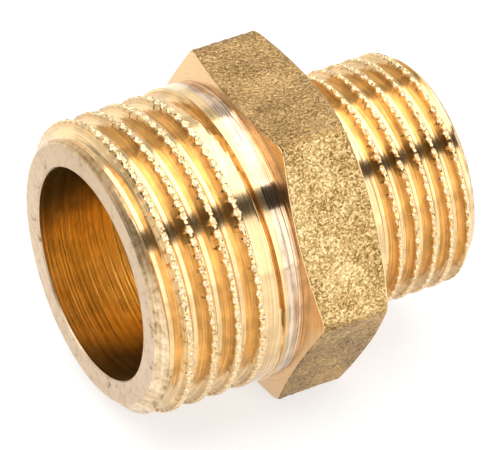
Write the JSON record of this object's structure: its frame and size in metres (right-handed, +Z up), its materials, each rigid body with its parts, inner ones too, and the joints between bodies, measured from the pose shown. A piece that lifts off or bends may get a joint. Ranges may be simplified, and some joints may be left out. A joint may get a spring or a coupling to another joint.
{
  "type": "hex nipple",
  "caption": "Reducing hex nipple in brass: a stepped waterway through a male pipe thread, a plain neck, a forged hexagon and a smaller male pipe thread",
  "frame": {"origin": "under the middle of the nipple's length, on the plane of the hexagon flat that it lies on, which is the bottom centre of its bounding box", "axes": "+X along the flow axis from the large end to the small end; +Z up, out of the hexagon flat opposite the one it lies on; +Y across, through two corners of the hexagon"},
  "size_m": [0.0258, 0.025, 0.022],
  "materials": {
    "large_thread_brass": "bright machined",
    "neck_brass": "bright turned",
    "forged_brass": "as forged and blasted",
    "small_thread_brass": "bright machined"
  },
  "bodies": {
    "root": {"large_thread": "large_thread_brass", "neck": "neck_brass", "hex_collar": "forged_brass", "small_thread": "small_thread_brass"}
  },
  "joints": []
}
